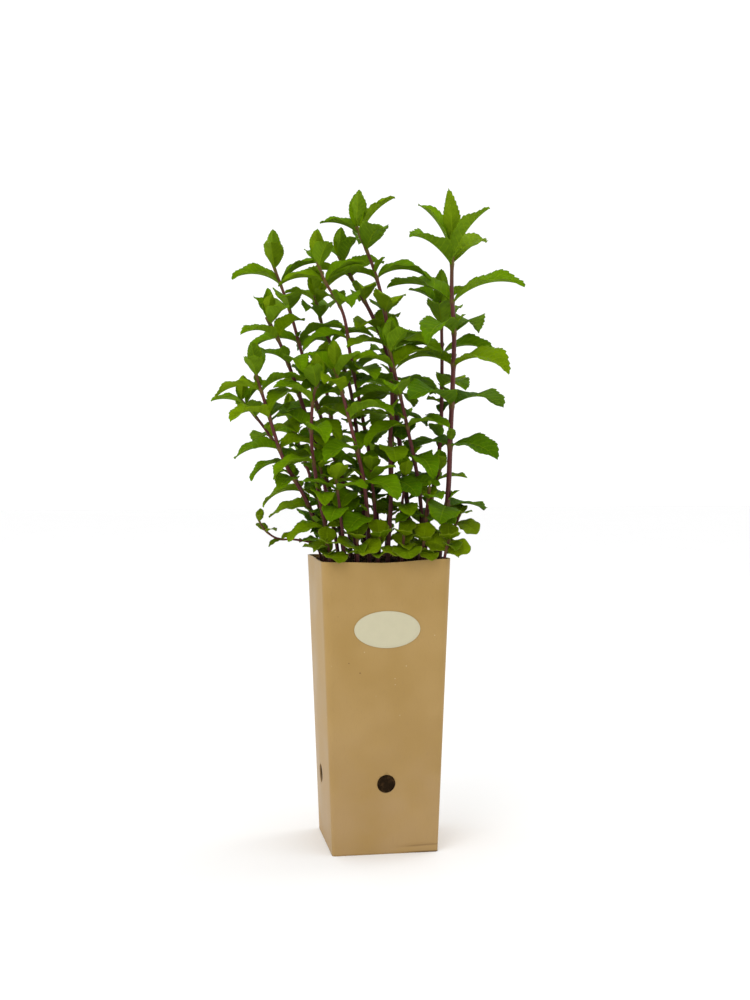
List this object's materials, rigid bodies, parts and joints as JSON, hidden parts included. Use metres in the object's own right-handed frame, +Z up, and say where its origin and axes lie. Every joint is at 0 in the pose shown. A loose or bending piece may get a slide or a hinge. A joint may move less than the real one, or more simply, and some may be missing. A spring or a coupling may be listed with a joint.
{
  "type": "potted calamint",
  "caption": "Bushy pot herb with purple square stems and toothed leaves in opposite pairs, growing from soil in a tall, tapered square card pot with a bare oval label.",
  "frame": {"origin": "middle of the pot's flat underside, at the surface it stands on", "axes": "+Z up, -Y is the pot's front wall with the label, +X is to the right seen from the front"},
  "size_m": [0.2101, 0.1633, 0.4552],
  "materials": {
    "card": "satin",
    "label": "satin",
    "soil": "matte",
    "leaf": "satin",
    "young_leaf": "satin"
  },
  "bodies": {
    "root": {"card_pot": "card", "oval_label": "label", "soil": "soil", "leafy_stem_right": "leaf", "leafy_stem_front": "leaf", "leafy_stem_middle": "leaf", "leafy_stem_low_right": "leaf", "leafy_stem_low_front": "leaf", "leafy_stem_inner": "leaf", "leafy_stem_rear": "leaf", "leafy_stem_left": "leaf", "leafy_stem_left_leaning": "leaf", "leafy_stem_outer_left": "leaf", "leafy_stem_far_left": "leaf", "leafy_stem_front_left": "leaf", "leafy_stem_back_right": "leaf", "leafy_stem_back_left": "leaf", "leafy_stem_back": "leaf", "leafy_stem_back_corner": "leaf", "short_stem_front_left": "leaf", "short_stem_left": "leaf", "short_stem_front": "leaf", "short_stem_front_middle": "leaf", "short_stem_front_right": "leaf", "short_stem_right": "leaf", "young_shoot_front_left": "young_leaf", "young_shoot_front": "young_leaf", "young_shoot_front_middle": "young_leaf", "young_shoot_front_right": "young_leaf", "young_shoot_right": "young_leaf", "young_shoot_back": "young_leaf", "young_shoot_middle": "young_leaf", "young_shoot_corner": "young_leaf", "runner_left": "young_leaf"}
  },
  "joints": []
}
